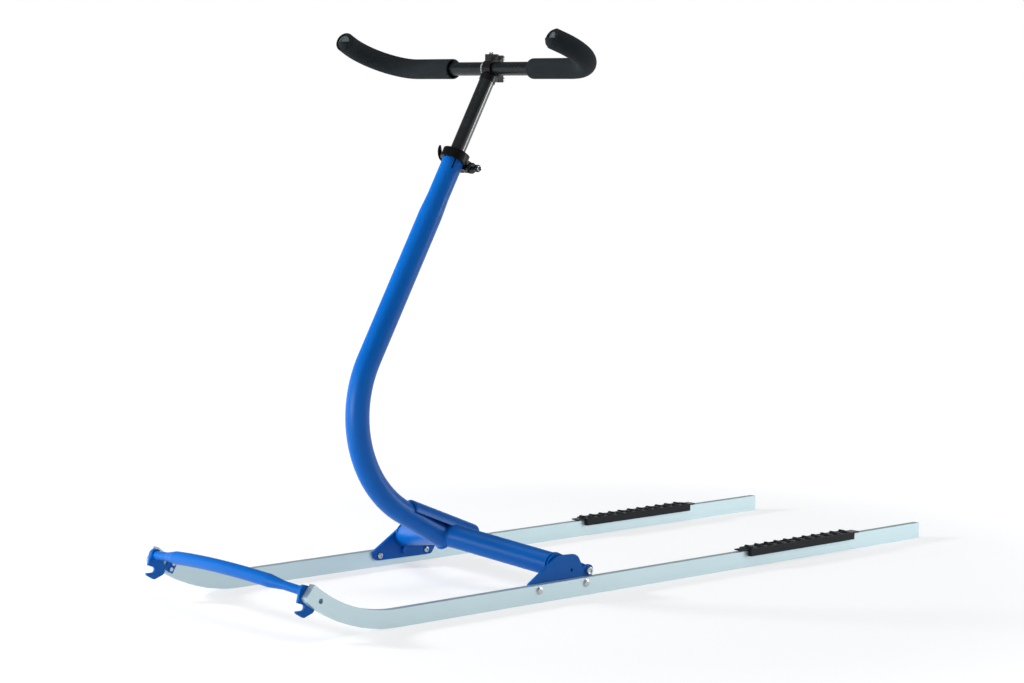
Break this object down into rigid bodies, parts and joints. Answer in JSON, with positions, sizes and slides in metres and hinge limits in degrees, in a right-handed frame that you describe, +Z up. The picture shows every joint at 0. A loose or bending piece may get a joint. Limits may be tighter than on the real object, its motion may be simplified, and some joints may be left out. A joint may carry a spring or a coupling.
{
  "type": "kick sled",
  "caption": "Kick sled with long upturned runners, cleated foot pads, a curved stem on a folding cross frame, a sliding post and a tilting bullhorn handlebar with foam grips.",
  "frame": {"origin": "on the floor under the middle of the sled's bounding box", "axes": "+Z up, the front (noses and hooks) faces -Y, the sled's left runner is on +X"},
  "size_m": [0.64, 1.6157, 1.0246],
  "materials": {
    "runner_metal": "pale satin",
    "pad_rubber": "charcoal, finely grained",
    "blue_paint": "royal blue satin powder coat",
    "black_metal": "black satin anodising",
    "zinc_steel": "zinc plated",
    "grip_foam": "matte black foam",
    "plug_plastic": "black"
  },
  "bodies": {
    "sled": {"runner_left": "runner_metal", "runner_right": "runner_metal", "foot_pad_left": "pad_rubber", "foot_pad_right": "pad_rubber", "hinge_bracket_left": "blue_paint", "hinge_bracket_right": "blue_paint", "bracket_bolts": "zinc_steel", "hinge_pins": "zinc_steel", "front_tube": "blue_paint", "front_hook_left": "blue_paint", "front_hook_right": "blue_paint", "hook_screws": "zinc_steel"},
    "frame": {"cross_tube": "blue_paint", "end_plate_left": "blue_paint", "end_plate_right": "blue_paint", "stem": "blue_paint", "saddle": "blue_paint", "seat_collar": "black_metal", "collar_lever": "black_metal"},
    "post": {"post": "black_metal", "clamp_body": "black_metal", "clamp_cap": "black_metal", "clamp_bolts": "zinc_steel"},
    "bar": {"handlebar": "black_metal", "grip_left": "grip_foam", "grip_right": "grip_foam", "bar_plugs": "plug_plastic"}
  },
  "joints": [
    {"name": "frame_fold", "type": "hinge", "parent": "sled", "child": "frame", "pos_m": [0, -0.12715, 0.041], "axis": [-1, 0, 0], "range_deg": [0, 86]},
    {"name": "post_height", "type": "slide", "parent": "frame", "child": "post", "axis": [0, 0.4848, 0.8746], "range_m": [-0.11, 0.06]},
    {"name": "bar_tilt", "type": "hinge", "parent": "post", "child": "bar", "pos_m": [0, -0.17526, 0.95652], "axis": [1, 0, 0], "range_deg": [-20, 20]}
  ]
}
